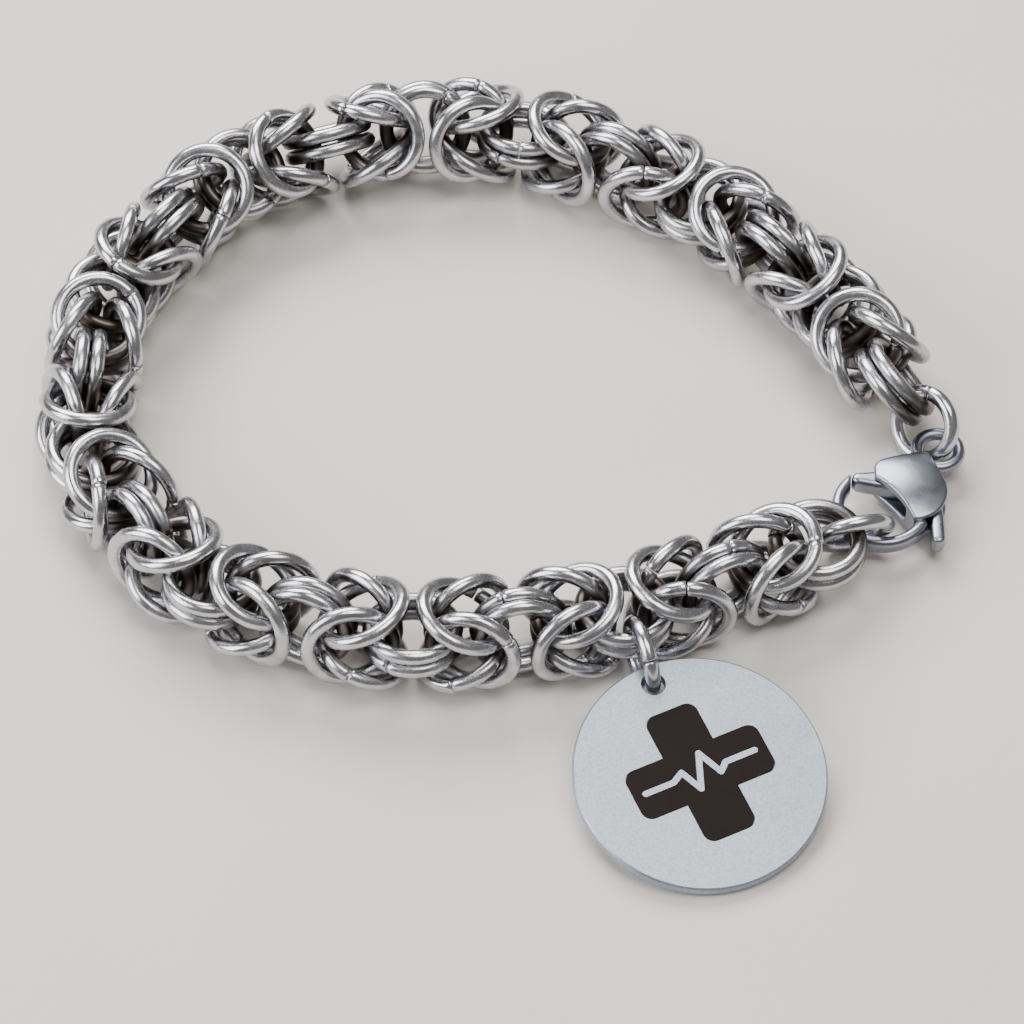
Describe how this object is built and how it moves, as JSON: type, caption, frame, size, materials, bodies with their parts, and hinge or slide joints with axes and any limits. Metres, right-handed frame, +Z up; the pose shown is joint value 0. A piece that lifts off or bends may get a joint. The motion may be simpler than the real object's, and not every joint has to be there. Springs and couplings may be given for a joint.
{
  "type": "medical alert bracelet",
  "caption": "Medical alert bracelet: a Byzantine weave chain closed by a lobster clasp with a sprung lever, with a round disc inlaid with a cross on a jump ring.",
  "frame": {"origin": "middle of the part's footprint, on the table that it lies on", "axes": "+Z up from the table; the clasp is on the +X side of the loop; the disc hangs out of it towards -Y"},
  "size_m": [0.0765, 0.0795, 0.0096],
  "materials": {
    "chain_steel": "polished stainless steel wire",
    "jump_ring_steel": "polished stainless steel wire",
    "clasp_steel": "cast stainless steel, tumbled and polished",
    "disc_steel": "stamped stainless steel, satin",
    "inlay_enamel": "dark brown resin enamel"
  },
  "bodies": {
    "bracelet": {"byzantine_chain": "chain_steel", "eye_jump_ring": "jump_ring_steel", "hook_jump_ring": "jump_ring_steel", "disc_jump_ring": "jump_ring_steel", "pendant_disc": "disc_steel", "disc_emblem": "inlay_enamel", "clasp_body": "clasp_steel", "clasp_rivet": "clasp_steel"},
    "lever": {"clasp_lever": "clasp_steel"}
  },
  "joints": [
    {"name": "clasp_lever_hinge", "type": "hinge", "parent": "bracelet", "child": "lever", "pos_m": [0.03479, -0.00171, 0.00205], "axis": [0, 0, 1], "range_deg": [0, 24], "stiffness_Nm_per_rad": 0.0003, "springref_deg": -20.05}
  ]
}
